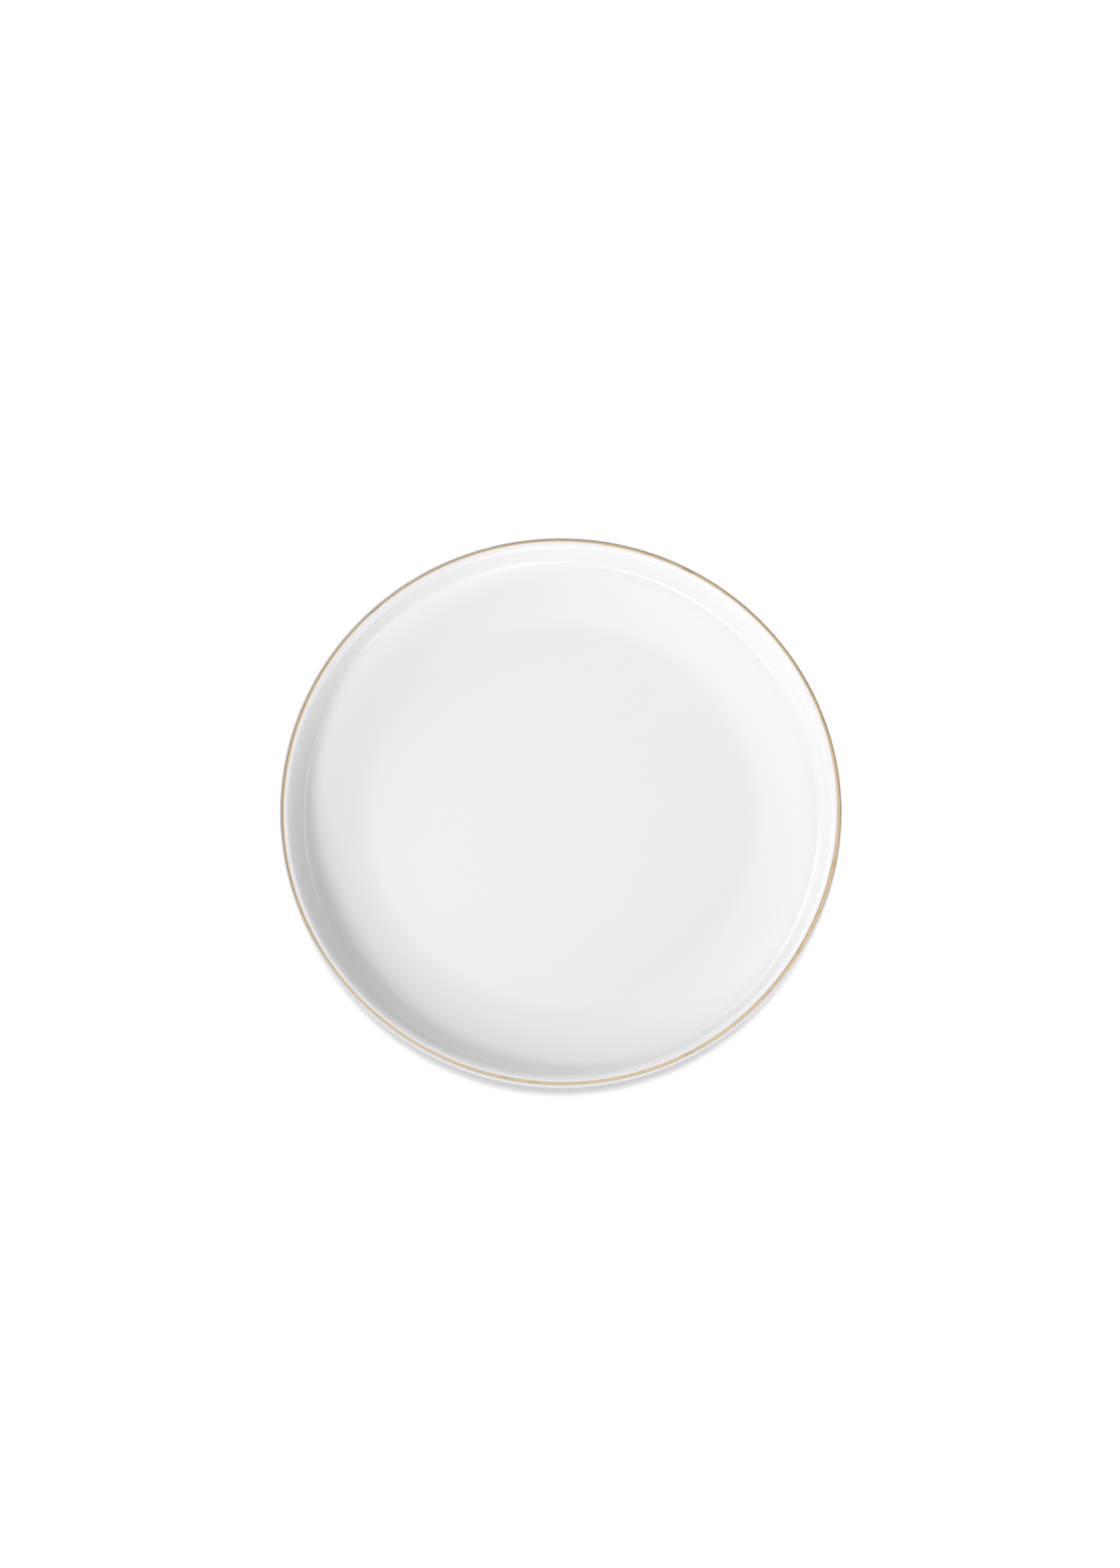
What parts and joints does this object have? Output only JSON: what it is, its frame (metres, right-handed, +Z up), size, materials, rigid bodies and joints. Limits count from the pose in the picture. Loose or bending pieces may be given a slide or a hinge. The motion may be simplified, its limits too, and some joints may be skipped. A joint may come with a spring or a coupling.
{
  "type": "dinner plate",
  "caption": "Round white china dinner plate with a nearly flat well, a steep upright wall, a low foot ring and a thin gilt line on its lip.",
  "frame": {"origin": "centre of the foot ring's resting face, on the surface that the plate stands on", "axes": "+Z up along the plate's axis; the plate is round, so X and Y are any two directions across it"},
  "size_m": [0.26, 0.26, 0.0251],
  "materials": {
    "porcelain": "matt fired clay, bare on the foot ring",
    "glaze": "clear glossy glaze over white porcelain",
    "base_glaze": "clear glossy glaze over white porcelain",
    "gilding": "brushed-on gilt line, burnished"
  },
  "bodies": {
    "root": {"porcelain_body": "porcelain", "outer_glaze": "glaze", "base_glaze": "base_glaze", "gold_line": "gilding"}
  },
  "joints": []
}
